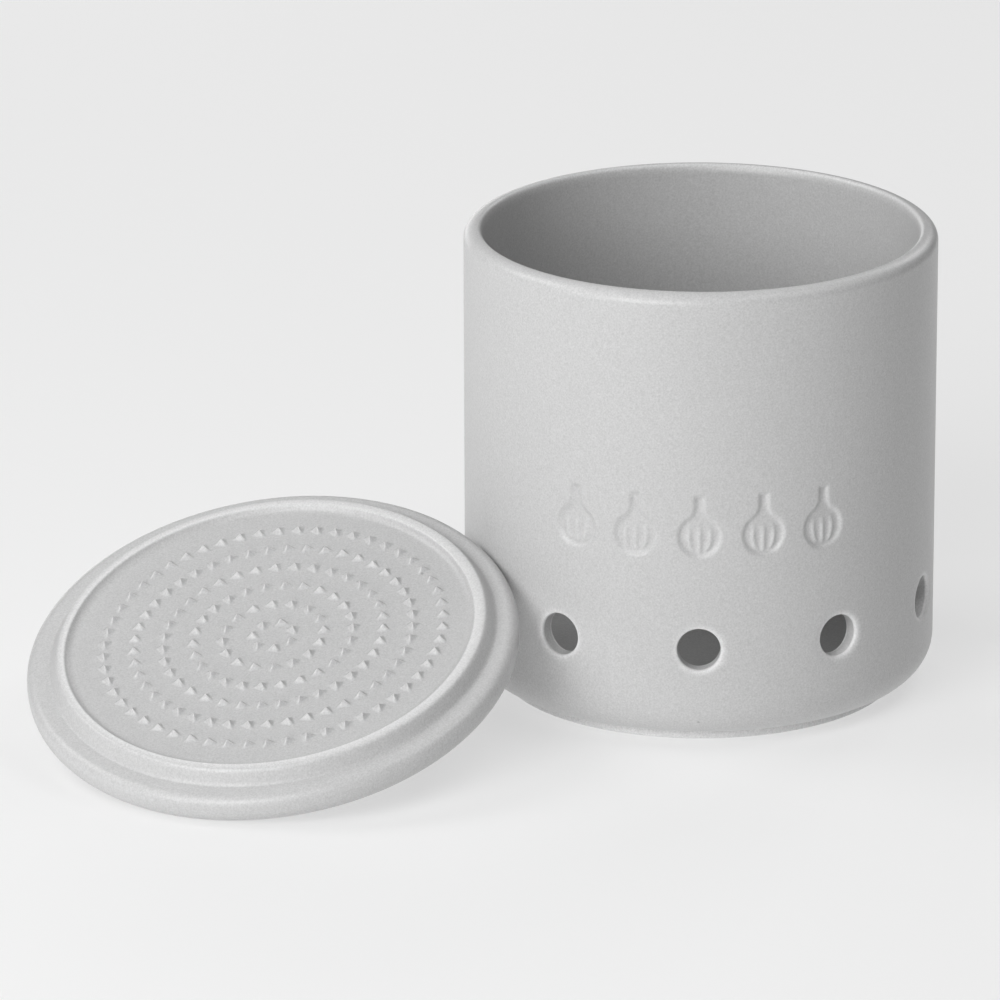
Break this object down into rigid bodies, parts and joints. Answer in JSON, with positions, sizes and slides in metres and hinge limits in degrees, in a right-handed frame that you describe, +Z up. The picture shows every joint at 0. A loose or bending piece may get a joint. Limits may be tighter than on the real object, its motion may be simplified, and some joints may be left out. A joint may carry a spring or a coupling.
{
  "type": "garlic keeper",
  "caption": "Straight-sided glazed stoneware pot with a ring of air vents near its foot, and a plug lid whose underside is a ceramic grater, lying beside it.",
  "frame": {"origin": "centre of the pot's flat foot, on the pot's axis", "axes": "+Z up along the pot's axis from the table; -Y towards the front with the pressed row of bulbs; the lid lies beside the pot on the -X side"},
  "size_m": [0.2188, 0.1684, 0.1145],
  "materials": {
    "pot_glaze": "satin",
    "lid_glaze": "satin"
  },
  "bodies": {
    "pot": {"pot": "pot_glaze"},
    "lid": {"lid": "lid_glaze"}
  },
  "joints": [
    {"name": "lid_lift", "type": "slide", "parent": "pot", "child": "lid", "axis": [0, 0, 1], "range_m": [0, 0.13]}
  ]
}
